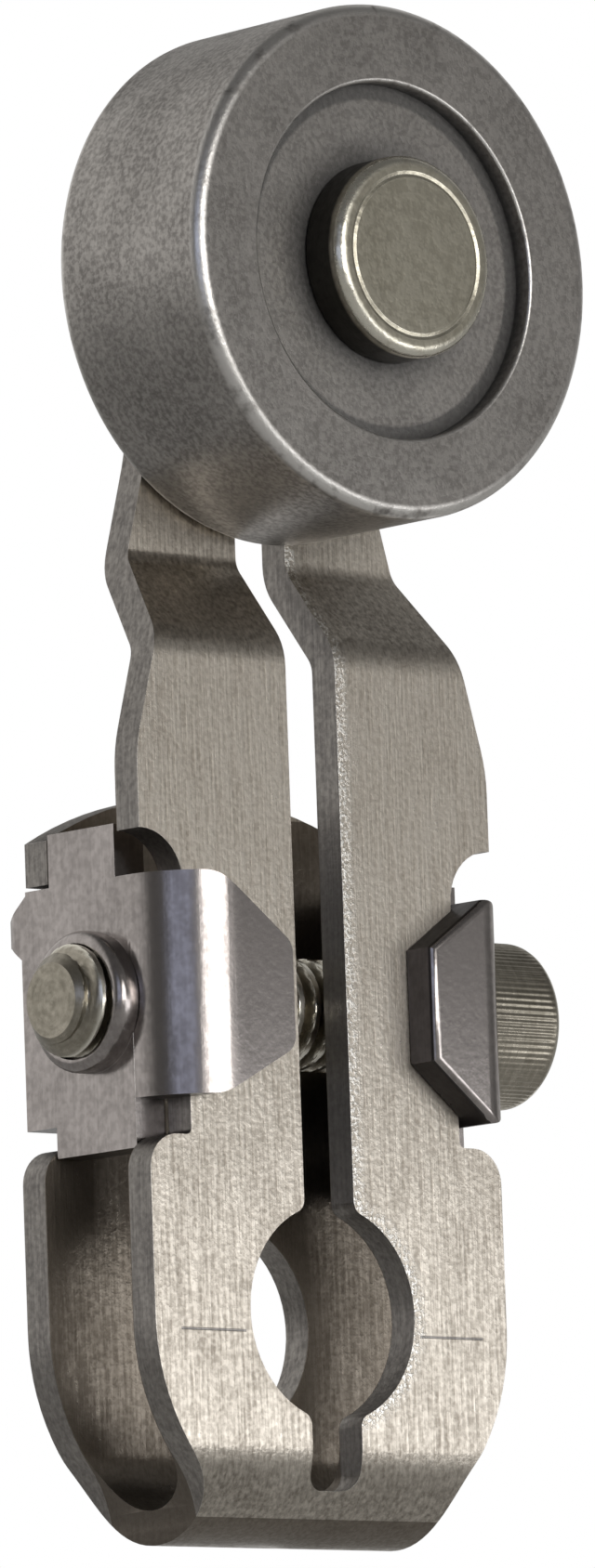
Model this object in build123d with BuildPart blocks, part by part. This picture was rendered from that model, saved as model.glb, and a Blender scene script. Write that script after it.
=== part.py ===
"""Roller lever arm that clamps on a round control shaft.

A strap of steel sheet is folded into a U that holds the shaft, and runs up as two fingers to an eye.
A steel roller turns on a headed pin riveted in that eye.  A cap screw crosses the U above the shaft,
between a threaded clip on one edge and a saddle clip on the other, and squeezes the slit halves together.

Frame: millimetres, origin on the shaft axis midway between the two walls, +Z up the arm to the roller,
-Y towards the roller side, +X towards the screw head.  The shaft and roller axes run along Y.
"""
from build123d import *
import os

# ---- driving dimensions: shaft, roller and screw ----
lever_length = 38.1            # shaft axis to roller axis
shaft_bore_diameter = 7.94
roller_diameter = 19.05
roller_width = 7.94
screw_diameter = 4.17
screw_head_diameter = 6.25
screw_head_height = 4.3
screw_socket_flats = 3.57
screw_socket_depth = 2.0

# ---- driving dimensions: strap ----
strap_sheet = 1.27
strap_width = 17.0
neck_width = 11.6              # width left at the fold
flare_radius = 8.0             # side rounding between full width and the neck
flare_drop = 5.0
bore_to_fold = 4.35            # metal between the bore and the lowest point of the fold
bore_to_screw = 5.35           # clear height between the bore and the screw shank
slit_width = 2.4
slot_land = 1.85               # fold left whole under the lower slot
slit_corner = 0.5
slot_corner = 0.7
notch_depth = 2.0
notch_below_screw = 5.1
notch_above_screw = 6.0
notch_top_radius = 1.95
notch_foot_radius = 1.3
notch_corner = 0.25
rear_notch_above_screw = 4.6
rear_horn_inset = 0.6          # rear wall is this much narrower above its notches
dome_above_screw = 8.3
dome_radius = 16.0
taper_below_jog = 3.9
taper_corner_radius = 6.0
finger_setback = 2.57          # fingers step back by this much at the jog
jog_rise = 3.25
jog_to_roller = 1.02           # end of the jog below the roller tread
jog_bend_radius = 1.6
eye_radius = 5.3
eye_shoulder_drop = 6.1
slit_end_drop = 7.1

# ---- driving dimensions: roller group ----
roller_recess_diameter = 13.2
roller_recess_depth = 0.75
roller_front_edge = 0.35
roller_rear_edge = 0.5
recess_edge = 0.12
bush_wall = 0.8
journal_diameter = 5.52
tenon_diameter = 4.0
pin_head_diameter = 7.46
pin_head_height = 1.8
pin_head_edge = 0.3
stake_diameter = 6.2
stake_height = 0.9
stake_edge = 0.4
bush_proud = 0.05              # bush end beyond the roller's rear face

# ---- driving dimensions: clips ----
clip_sheet = 1.4
nut_web_above = 4.45
nut_web_below = 3.7
nut_heel_below = 4.35          # web foot on the rear half
nut_web_rear = 0.3             # web edge beyond the rear wall
nut_key_above = 6.4
nut_key_below = 5.5
nut_key_front = 1.5
nut_bend_radius = 3.0
nut_ear_reach = 5.35           # ear length measured from the web's outer face
nut_ear_shoulder = 2.0
nut_ear_tip = 1.9              # half height of the ear at its tip
nut_ear_corner = 0.7
nut_tab_low = 1.75             # tab at its root, above the screw axis
nut_tab_high = 4.3
nut_tab_tip_low = 2.5          # and past its slanted shoulders
nut_tab_tip_high = 3.5
nut_tab_reach = 2.8
nut_tab_corner = 0.9
collar_wall = 0.475            # round the thread bore
collar_height = 0.9
collar_edge = 0.4
saddle_above = 4.0             # saddle height above and below the screw axis
saddle_below = 4.3
saddle_corner_radius = 0.95
saddle_key_above = 4.8         # the web's key between the walls, from the screw axis
saddle_key_below = 6.5
saddle_ear_reach = 3.75
saddle_ear_flank = 2.7         # length over which the ear narrows
saddle_ear_tip = 2.1
saddle_bend_radius = 1.2
saddle_ear_edge = 0.3
screw_tail = 2.0               # screw end beyond the nut clip's web
screw_tail_edge = 0.35
screw_head_edge = 0.3
screw_seat_edge = 0.12

# ---- clearances ----
running_clearance = 0.04       # radial, journal in bush and screw in thread
saddle_hole_clearance = 0.08   # radial, screw in saddle clip
fixed_clearance = 0.01         # radial, pieces pressed or riveted together
axial_clearance = 0.08         # roller end float, each side
clip_clearance = 0.05          # clip faces to strap faces
key_clearance = 0.1            # clip keys to the inside of each wall
screw_side_room = 0.245        # screw shank to the inside of each wall

# ---- derived sizes ----
bore_radius = shaft_bore_diameter / 2
screw_radius = screw_diameter / 2
half_width = strap_width / 2
half_gap = screw_radius + screw_side_room
half_depth = half_gap + strap_sheet
screw_height = bore_radius + bore_to_screw + screw_radius
strap_bottom = -(bore_radius + bore_to_fold)
fold_height = strap_bottom + half_depth
slot_bottom = strap_bottom + slot_land
notch_wall = half_width - notch_depth
notch_bottom = screw_height - notch_below_screw
notch_top = screw_height + notch_above_screw
dome_top = screw_height + dome_above_screw
jog_end = lever_length - roller_diameter / 2 - jog_to_roller
jog_start = jog_end - jog_rise
taper_start = jog_start - taper_below_jog
wall_middle = half_depth - strap_sheet / 2
eye_middle = finger_setback - wall_middle
eye_front = eye_middle - strap_sheet / 2
eye_rear = eye_middle + strap_sheet / 2
roller_rear = eye_front - axial_clearance - bush_proud
roller_front = roller_rear - roller_width
recess_floor = roller_front + roller_recess_depth
head_seat = recess_floor - axial_clearance
bush_outer_diameter = journal_diameter + 2 * (running_clearance + bush_wall)
web_inner = notch_wall + clip_clearance
web_outer = web_inner + clip_sheet
ear_inner = half_depth + clip_clearance
ear_outer = ear_inner + clip_sheet
screw_seat = web_outer + clip_clearance
screw_end = -(web_outer + screw_tail)
thread_bore_radius = screw_radius + running_clearance
key_side = half_gap - key_clearance
beyond = 2.0                   # how far cutting shapes run past what they cut

os.makedirs("parts", exist_ok=True)


def facing(y):
    """Plane that faces the roller side (-Y) and stands at the given Y; its sketch axes are X and Z."""
    return Plane.XZ.offset(-y)


def across(x):
    """Plane that faces the screw head (+X) and stands at the given X; its sketch axes are Y and Z."""
    return Plane.YZ.offset(x)


def corners_at(shape_vertices, x=None, y=None):
    """Sketch corners whose distance from the mid-line is x, or whose height is y, or both."""
    return shape_vertices.filter_by(
        lambda v: (x is None or abs(abs(v.X) - x) < 0.001) and (y is None or abs(v.Y - y) < 0.001))


def rims(part, radius):
    """Circular edges of the given radius, ordered along Y."""
    round_edges = part.edges().filter_by(GeomType.CIRCLE)
    return round_edges.filter_by(lambda e: abs(e.radius - radius) < 0.001).sort_by(Axis.Y)


def wall_foot():
    """Right side of a wall outline, from the fold up to where the wall has its full width."""
    neck_side = neck_width / 2
    flare_end = (half_width, fold_height + bore_to_fold)
    flare_inset = flare_radius - (flare_radius**2 - flare_drop**2) ** 0.5
    knee = (half_width - flare_inset, flare_end[1] - flare_drop)
    Polyline((0, strap_bottom - beyond), (neck_side, strap_bottom - beyond), (neck_side, strap_bottom))
    rounding = RadiusArc(flare_end, knee, flare_radius)
    TangentArc(knee, (neck_side, strap_bottom), tangent=rounding % 1)
    return flare_end


def edge_notch(top):
    """Cut the screw notch out of the right edge of the wall sketch, from its foot to the given top."""
    height = top - notch_bottom
    with Locations((half_width, notch_bottom + height / 2)):
        Rectangle(2 * notch_depth, height, mode=Mode.SUBTRACT)


def opening(top):
    """Draw the shaft bore with the slit above it, up to the given top, and the short slot below it."""
    Circle(bore_radius)
    with Locations((0, top / 2)):
        Rectangle(slit_width, top)
    with Locations((0, slot_bottom / 2)):
        Rectangle(slit_width, -slot_bottom)


# ---- lever strap ----
with BuildPart() as wall_blanks:
    # Front wall, fingers and eye.
    with BuildSketch(facing(half_gap / 2)) as front_wall:
        with BuildLine():
            flare_end = wall_foot()
            Polyline(flare_end, (half_width, taper_start),
                     (eye_radius, lever_length - eye_shoulder_drop), (eye_radius, lever_length))
            CenterArc((0, lever_length), eye_radius, 0, 90)
            Line((0, lever_length + eye_radius), (0, strap_bottom - beyond))
        make_face()
        edge_notch(notch_top)
        fillet(corners_at(vertices(), notch_wall, notch_top), notch_top_radius)
        fillet(corners_at(vertices(), notch_wall, notch_bottom), notch_corner)
        fillet(corners_at(vertices(), half_width, notch_bottom), notch_foot_radius)
        mirror(about=Plane.YZ)
        fillet(corners_at(vertices(), eye_radius, lever_length - eye_shoulder_drop), eye_radius)
        fillet(corners_at(vertices(), half_width, taper_start), taper_corner_radius)
    extrude(amount=half_gap / 2 + half_depth + beyond)
    # Rear wall, which ends in a dome.
    with BuildSketch(facing(half_gap / 2)) as rear_wall:
        with BuildLine():
            flare_end = wall_foot()
            horn_side = half_width - rear_horn_inset
            dome_side = dome_top - dome_radius + (dome_radius**2 - horn_side**2) ** 0.5
            Polyline(flare_end, (half_width, screw_height), (horn_side, screw_height),
                     (horn_side, dome_side))
            RadiusArc((horn_side, dome_side), (0, dome_top), -dome_radius)
            Line((0, dome_top), (0, strap_bottom - beyond))
        make_face()
        edge_notch(screw_height + rear_notch_above_screw)
        fillet(corners_at(vertices(), notch_wall), notch_corner)
        fillet(corners_at(vertices(), half_width, notch_bottom), notch_foot_radius)
        mirror(about=Plane.YZ)
    extrude(amount=-(half_depth + beyond))

with BuildPart() as lever_strap:
    # Sheet folded round the shaft, with the fingers set back at the jog.
    with BuildSketch(Plane.YZ):
        with BuildLine():
            Line((wall_middle, dome_top + beyond), (wall_middle, fold_height))
            CenterArc((0, fold_height), wall_middle, 180, 180)
            FilletPolyline((-wall_middle, fold_height), (-wall_middle, jog_start), (eye_middle, jog_end),
                           (eye_middle, lever_length + eye_radius + beyond), radius=jog_bend_radius)
        trace(line_width=strap_sheet)
    extrude(amount=half_width + beyond, both=True)
    add(wall_blanks.part, mode=Mode.INTERSECT)
    # Bore, slit and slot in the front wall; the slit stops below the eye.
    slit_end = lever_length - slit_end_drop
    with BuildSketch(facing(half_gap / 2)):
        opening(slit_end)
        fillet(corners_at(vertices(), slit_width / 2, slit_end), slot_corner)
        fillet(corners_at(vertices(), slit_width / 2, slot_bottom), slot_corner)
        fillet(vertices().filter_by(lambda v: abs(v.Y) < bore_radius), slit_corner)
    extrude(amount=half_gap / 2 + half_depth + beyond, mode=Mode.SUBTRACT)
    # The same in the rear wall, where the slit runs out through the dome.
    with BuildSketch(facing(half_gap / 2)):
        opening(dome_top + beyond)
        fillet(corners_at(vertices(), slit_width / 2, slot_bottom), slot_corner)
        fillet(vertices().filter_by(lambda v: abs(v.Y) < bore_radius), slit_corner)
    extrude(amount=-(half_depth + beyond), mode=Mode.SUBTRACT)
    # Hole in the eye for the riveted end of the pin.
    with BuildSketch(facing(half_gap / 2)):
        with Locations((0, lever_length)):
            Circle(tenon_diameter / 2 + fixed_clearance)
    extrude(amount=half_gap / 2 + half_depth, mode=Mode.SUBTRACT)
lever_strap.part.label = "lever_strap"
export_step(lever_strap.part, "parts/lever_strap.step")

# ---- roller: tread, recessed front face and bore ----
with BuildPart() as roller:
    with BuildSketch(facing(roller_rear)):
        with Locations((0, lever_length)):
            Circle(roller_diameter / 2)
            Circle(bush_outer_diameter / 2 + fixed_clearance, mode=Mode.SUBTRACT)
    extrude(amount=roller_width)
    with BuildSketch(facing(recess_floor)):
        with Locations((0, lever_length)):
            Circle(roller_recess_diameter / 2)
    extrude(amount=roller_recess_depth + beyond, mode=Mode.SUBTRACT)
    fillet(rims(roller, roller_diameter / 2).first, roller_front_edge)
    chamfer(rims(roller, roller_diameter / 2).last, roller_rear_edge)
    chamfer(rims(roller, roller_recess_diameter / 2).first, recess_edge)
roller.part.label = "roller"
export_step(roller.part, "parts/roller.step")

# ---- roller bush, pressed in the roller ----
with BuildPart() as roller_bush:
    bush_rear = roller_rear + bush_proud
    with BuildSketch(facing(bush_rear)):
        with Locations((0, lever_length)):
            Circle(bush_outer_diameter / 2)
            Circle(journal_diameter / 2 + running_clearance, mode=Mode.SUBTRACT)
    extrude(amount=bush_rear - recess_floor)
roller_bush.part.label = "roller_bush"
export_step(roller_bush.part, "parts/roller_bush.step")

# ---- roller pin: head, journal, tenon through the eye and the staked end ----
with BuildPart() as roller_pin:
    with BuildSketch(facing(head_seat)):
        with Locations((0, lever_length)):
            Circle(pin_head_diameter / 2)
    extrude(amount=pin_head_height)
    journal_end = eye_front - fixed_clearance
    with BuildSketch(facing(journal_end)):
        with Locations((0, lever_length)):
            Circle(journal_diameter / 2)
    extrude(amount=journal_end - head_seat)
    stake_face = eye_rear + fixed_clearance
    with BuildSketch(facing(stake_face)):
        with Locations((0, lever_length)):
            Circle(tenon_diameter / 2)
    extrude(amount=stake_face - journal_end)
    with BuildSketch(facing(stake_face)):
        with Locations((0, lever_length)):
            Circle(stake_diameter / 2)
    extrude(amount=-stake_height)
    fillet(rims(roller_pin, pin_head_diameter / 2).first, pin_head_edge)
    fillet(rims(roller_pin, stake_diameter / 2).last, stake_edge)
roller_pin.part.label = "roller_pin"
export_step(roller_pin.part, "parts/roller_pin.step")

# ---- clamp screw: socket head on +X, shank through both clips ----
with BuildPart() as clamp_screw:
    head_face = screw_seat + screw_head_height
    with BuildSketch(across(screw_end)):
        with Locations((0, screw_height)):
            Circle(screw_radius)
    extrude(amount=screw_seat - screw_end)
    with BuildSketch(across(screw_seat)):
        with Locations((0, screw_height)):
            Circle(screw_head_diameter / 2)
    extrude(amount=screw_head_height)
    with BuildSketch(across(head_face)):
        with Locations((0, screw_height)):
            RegularPolygon(screw_socket_flats / 2, 6, major_radius=False)
    extrude(amount=-screw_socket_depth, mode=Mode.SUBTRACT)
    round_rims = clamp_screw.edges().filter_by(GeomType.CIRCLE).sort_by(Axis.X)
    chamfer(round_rims.first, screw_tail_edge)
    head_rims = round_rims.filter_by(lambda e: e.radius > screw_radius + 0.001)
    fillet(head_rims.last, screw_head_edge)
    chamfer(head_rims.first, screw_seat_edge)
clamp_screw.part.label = "clamp_screw"
export_step(clamp_screw.part, "parts/clamp_screw.step")

# ---- nut clip: threaded web on the -X edge, long front ear, small rear tab, keys between the walls ----
with BuildPart() as rear_tab:
    # Tab hooked over the rear wall, with slanted shoulders.
    with BuildSketch(Plane.XY.offset(screw_height + nut_tab_low)):
        with Locations((-web_outer + nut_tab_reach / 2, ear_outer - clip_sheet / 2)):
            Rectangle(nut_tab_reach, clip_sheet)
        with Locations((-web_outer + clip_sheet / 2, ear_outer / 2)):
            Rectangle(clip_sheet, ear_outer)
        fillet(corners_at(vertices(), web_outer, ear_outer), nut_tab_corner)
    extrude(amount=nut_tab_high - nut_tab_low)
    tip_side = ear_outer - nut_tab_corner / 2
    tip_low, tip_high = screw_height + nut_tab_tip_low, screw_height + nut_tab_tip_high
    with BuildSketch(across(-web_outer)):
        with BuildLine():
            Polyline((0, screw_height + nut_tab_low), (half_depth, screw_height + nut_tab_low),
                     (tip_side, tip_low), (ear_outer, tip_low), (ear_outer, tip_high), (tip_side, tip_high),
                     (half_depth, screw_height + nut_tab_high), (0, screw_height + nut_tab_high),
                     close=True)
        make_face()
    extrude(amount=nut_tab_reach, mode=Mode.INTERSECT)

with BuildPart() as nut_clip:
    # Web and front ear in one bent section, trimmed to the tapering ear outline.
    with BuildSketch(Plane.XY.offset(screw_height - nut_web_below)):
        with Locations((-web_outer + clip_sheet / 2, -ear_outer / 2)):
            Rectangle(clip_sheet, ear_outer)
        with Locations((-web_outer + nut_ear_reach / 2, -ear_outer + clip_sheet / 2)):
            Rectangle(nut_ear_reach, clip_sheet)
        fillet(corners_at(vertices(), web_outer, -ear_outer), nut_bend_radius)
    extrude(amount=nut_web_below + nut_web_above)
    ear_end = -web_outer + nut_ear_reach
    shoulder = -web_outer + nut_ear_shoulder
    with BuildSketch(Plane.XZ):
        with BuildLine():
            Polyline((-web_outer, screw_height - nut_web_below), (shoulder, screw_height - nut_web_below),
                     (ear_end, screw_height - nut_ear_tip), (ear_end, screw_height + nut_ear_tip),
                     (shoulder, screw_height + nut_web_above), (-web_outer, screw_height + nut_web_above),
                     close=True)
        make_face()
        fillet(corners_at(vertices(), -ear_end), nut_ear_corner)
        fillet(corners_at(vertices(), -shoulder), nut_bend_radius / 2)
    extrude(amount=ear_outer + beyond, mode=Mode.INTERSECT)
    # Rear half of the web and the keys that reach between the walls.
    with BuildSketch(across(-web_outer)):
        rear_edge = half_depth + nut_web_rear
        with Locations((rear_edge / 2, screw_height + (nut_tab_tip_low - nut_heel_below) / 2)):
            Rectangle(rear_edge, nut_tab_tip_low + nut_heel_below)
        with Locations((half_depth / 2, screw_height + nut_web_above / 2)):
            Rectangle(half_depth, nut_web_above)
        with Locations(((key_side - nut_key_front) / 2, screw_height + nut_key_above / 2)):
            Rectangle(key_side + nut_key_front, nut_key_above)
        with Locations((0, screw_height - nut_key_below / 2)):
            Rectangle(2 * key_side, nut_key_below)
    extrude(amount=clip_sheet)
    add(rear_tab.part)
    # Collar and thread bore.
    with BuildSketch(across(-web_outer)):
        with Locations((0, screw_height)):
            Circle(thread_bore_radius + collar_wall)
    extrude(amount=-collar_height)
    collar_rim = nut_clip.edges().filter_by(GeomType.CIRCLE).sort_by(Axis.X).first
    fillet(collar_rim, collar_edge)
    with BuildSketch(across(-web_outer - collar_height)):
        with Locations((0, screw_height)):
            Circle(thread_bore_radius)
    extrude(amount=collar_height + clip_sheet, mode=Mode.SUBTRACT)
nut_clip.part.label = "nut_clip"
export_step(nut_clip.part, "parts/nut_clip.step")

# ---- saddle clip: under the screw head on the +X edge, one ear on each wall, a key between them ----
with BuildPart() as saddle_clip:
    with BuildSketch(Plane.XY.offset(screw_height - saddle_below)):
        with Locations((web_outer - saddle_ear_reach / 2, 0)):
            Rectangle(saddle_ear_reach, 2 * ear_outer)
        fillet(vertices().sort_by(Axis.X)[-2:], saddle_bend_radius)
        with Locations((web_inner - saddle_ear_reach / 2, 0)):
            Rectangle(saddle_ear_reach, 2 * ear_inner, mode=Mode.SUBTRACT)
    extrude(amount=saddle_below + saddle_above)
    ear_start = web_outer - saddle_ear_reach
    flank_end = ear_start + saddle_ear_flank
    with BuildSketch(Plane.XZ):
        with BuildLine():
            Polyline((web_outer, screw_height - saddle_below), (flank_end, screw_height - saddle_below),
                     (ear_start, screw_height - saddle_ear_tip), (ear_start, screw_height + saddle_ear_tip),
                     (flank_end, screw_height + saddle_above), (web_outer, screw_height + saddle_above),
                     close=True)
        make_face()
        fillet(corners_at(vertices(), web_outer), saddle_corner_radius)
    extrude(amount=ear_outer + beyond, both=True, mode=Mode.INTERSECT)
    outer_faces = saddle_clip.faces().filter_by(Axis.Y).sort_by(Axis.Y)
    ear_edges = outer_faces.first.edges() + outer_faces.last.edges()
    bend_line = web_outer - saddle_bend_radius
    fillet(ear_edges.filter_by(lambda e: e.center().X < bend_line - 0.001), saddle_ear_edge)
    with BuildSketch(across(web_inner)):
        with Locations((0, screw_height + (saddle_key_above - saddle_key_below) / 2)):
            Rectangle(2 * key_side, saddle_key_above + saddle_key_below)
    extrude(amount=clip_sheet)
    with BuildSketch(across(web_inner)):
        with Locations((0, screw_height)):
            Circle(screw_radius + saddle_hole_clearance)
    extrude(amount=clip_sheet, mode=Mode.SUBTRACT)
saddle_clip.part.label = "saddle_clip"
export_step(saddle_clip.part, "parts/saddle_clip.step")
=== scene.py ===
"""Looks of a roller lever arm: a folded steel strap that clamps on a shaft and carries a steel roller.

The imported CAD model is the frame.  Every piece here is made round it, stands for its CAD node and rides
on that node's body.  Sizes in the classes are in millimetres, and Blender's own units are metres.
"""
import logging
import math
from collections.abc import Callable
from dataclasses import dataclass, field
from enum import Enum
from functools import reduce
from typing import ClassVar

import bmesh
import bpy
from mathutils import Matrix, Vector


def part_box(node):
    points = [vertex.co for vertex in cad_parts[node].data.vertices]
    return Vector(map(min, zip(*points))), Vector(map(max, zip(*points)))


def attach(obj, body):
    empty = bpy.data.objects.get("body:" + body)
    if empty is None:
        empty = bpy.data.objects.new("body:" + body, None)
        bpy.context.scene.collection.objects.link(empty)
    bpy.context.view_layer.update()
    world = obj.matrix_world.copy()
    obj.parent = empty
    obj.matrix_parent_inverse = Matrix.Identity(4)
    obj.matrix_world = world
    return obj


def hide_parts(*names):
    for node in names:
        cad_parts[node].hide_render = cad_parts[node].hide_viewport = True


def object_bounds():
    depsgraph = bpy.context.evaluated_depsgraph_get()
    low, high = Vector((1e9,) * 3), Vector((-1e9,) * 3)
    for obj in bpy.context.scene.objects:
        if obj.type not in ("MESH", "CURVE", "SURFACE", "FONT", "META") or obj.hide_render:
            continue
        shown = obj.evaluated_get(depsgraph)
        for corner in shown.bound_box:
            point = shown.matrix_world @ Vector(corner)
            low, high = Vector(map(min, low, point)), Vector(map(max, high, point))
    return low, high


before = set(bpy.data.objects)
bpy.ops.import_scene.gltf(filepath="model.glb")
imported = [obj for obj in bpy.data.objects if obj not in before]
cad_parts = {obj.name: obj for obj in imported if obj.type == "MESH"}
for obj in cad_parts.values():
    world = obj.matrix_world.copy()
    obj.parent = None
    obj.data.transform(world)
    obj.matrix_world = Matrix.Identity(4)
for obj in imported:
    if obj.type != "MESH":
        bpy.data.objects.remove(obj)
CAD_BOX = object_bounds()

MM = 0.001
# Distance at which vertices are welded, in millimetres.
WELD = 0.0005
# Roughness that a sheared face gains and a rubbed edge loses, and patches of tone and wear per millimetre.
CUT_ROUGHNESS, RUBBED_GLOSS = 0.12, 0.1
TONE_PATCHES, WEAR_PATCHES = 0.35, 1.2
Colour = tuple[float, float, float]
log = logging.getLogger("roller_lever")


class Slot(Enum):
    """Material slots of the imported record."""

    STRAP = "strap_steel"
    ROLLER = "roller_steel"
    BUSH = "bush_bronze"
    PIN = "pin_steel"
    CLIP = "clip_steel"
    SCREW = "screw_steel"


class Body(Enum):
    """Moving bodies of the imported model."""

    LEVER = "lever"
    WHEEL = "roller_wheel"
    SADDLE = "saddle"
    SCREW = "screw"


class Lay(Enum):
    """How the fine marks of a finish run."""

    UPRIGHT = "along the arm"
    TURNED_Y = "round the roller's axis"
    TURNED_X = "round the screw's axis"


class Wiring:
    """Adds nodes to a node tree and joins them, so that a tree reads as a list of steps."""

    def __init__(self, tree: bpy.types.NodeTree) -> None:
        """Keep the tree that the nodes go into."""
        self.tree = tree

    def add(self, kind: str, **settings: object) -> bpy.types.Node:
        """Add one node.

        Args:
            kind: Blender's node type.
            settings: Properties to set on the node.

        Returns:
            The new node.
        """
        node = self.tree.nodes.new(kind)
        for name, value in settings.items():
            setattr(node, name, value)
        return node

    def feed(self, socket: bpy.types.NodeSocket, value: object) -> None:
        """Link an output to a socket, or set a plain value on it."""
        if isinstance(value, bpy.types.NodeSocket):
            self.tree.links.new(value, socket)
        else:
            socket.default_value = value

    def math(self, operation: str, *values: object, clamp: bool = False) -> bpy.types.NodeSocket:
        """Add a Math node on the given values and return its result."""
        node = self.add("ShaderNodeMath", operation=operation, use_clamp=clamp)
        for socket, value in zip(node.inputs, values):
            self.feed(socket, value)
        return node.outputs[0]

    def times(self, *values: object) -> bpy.types.NodeSocket:
        """Multiply the given values."""
        return reduce(lambda product, value: self.math("MULTIPLY", product, value), values)

    def plus(self, *values: object) -> bpy.types.NodeSocket:
        """Add the given values."""
        return reduce(lambda total, value: self.math("ADD", total, value), values)

    def vector(self, operation: str, *values: object) -> bpy.types.NodeSocket:
        """Add a Vector Math node on the given values and return its vector, or its length or dot product."""
        node = self.add("ShaderNodeVectorMath", operation=operation)
        for socket, value in zip(node.inputs, values):
            self.feed(socket, value)
        scalar = operation in ("LENGTH", "DOT_PRODUCT")
        return node.outputs["Value" if scalar else "Vector"]

    def xyz(self, vector: bpy.types.NodeSocket) -> list[bpy.types.NodeSocket]:
        """Split a vector into its three parts."""
        node = self.add("ShaderNodeSeparateXYZ")
        self.feed(node.inputs[0], vector)
        return list(node.outputs)

    def point(self, x: object, y: object, z: object) -> bpy.types.NodeSocket:
        """Join three values into a vector."""
        node = self.add("ShaderNodeCombineXYZ")
        for socket, value in zip(node.inputs, (x, y, z)):
            self.feed(socket, value)
        return node.outputs[0]

    def span(self, value: object, low: float, high: float, start: float = 0.0,
             end: float = 1.0) -> bpy.types.NodeSocket:
        """Map low..high onto start..end with a smooth step, held at both ends."""
        node = self.add("ShaderNodeMapRange", interpolation_type="SMOOTHSTEP")
        for socket, entry in zip(node.inputs, (value, low, high, start, end)):
            self.feed(socket, entry)
        return node.outputs[0]

    def mix(self, factor: object, first: object, second: object,
            blend: str = "MIX") -> bpy.types.NodeSocket:
        """Mix two colours and return the result."""
        node = self.add("ShaderNodeMix", data_type="RGBA", blend_type=blend)
        self.feed(node.inputs[0], factor)
        for socket, value in ((node.inputs[6], first), (node.inputs[7], second)):
            self.feed(socket, (*value, 1.0) if isinstance(value, tuple) else value)
        return node.outputs[2]

    def noise(self, vector: object, scale: float, detail: float = 2.0,
              roughness: float = 0.5) -> bpy.types.NodeSocket:
        """Add a Noise texture and return its value."""
        node = self.add("ShaderNodeTexNoise")
        for name, value in (("Vector", vector), ("Scale", scale), ("Detail", detail),
                            ("Roughness", roughness)):
            self.feed(node.inputs[name], value)
        return node.outputs["Fac"]

    def onto(self, geometry: bpy.types.NodeSocket, kind: str, **values: object) -> bpy.types.NodeSocket:
        """Add a node that works on a geometry, feed its named inputs and return the new geometry."""
        node = self.add(kind)
        self.feed(node.inputs[0], geometry)
        for name, value in values.items():
            self.feed(node.inputs[name], value)
        return node.outputs[0]

    def blend(self, factor: object, first: bpy.types.Node, second: bpy.types.Node) -> bpy.types.Node:
        """Mix two shaders."""
        node = self.add("ShaderNodeMixShader")
        for socket, value in zip(node.inputs, (factor, first.outputs[0], second.outputs[0])):
            self.feed(socket, value)
        return node

    def glow(self, kind: str, colour: object) -> bpy.types.Node:
        """Add a shader of one kind and feed its colour."""
        node = self.add(kind)
        self.feed(node.inputs["Color"], colour)
        return node

    def group(self, tree: bpy.types.NodeTree, **values: object) -> bpy.types.Node:
        """Place a node group and feed its named inputs, with _ for a space."""
        node = self.add("ShaderNodeGroup", node_tree=tree)
        for name, value in values.items():
            self.feed(node.inputs[name.replace("_", " ")], value)
        return node


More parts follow.
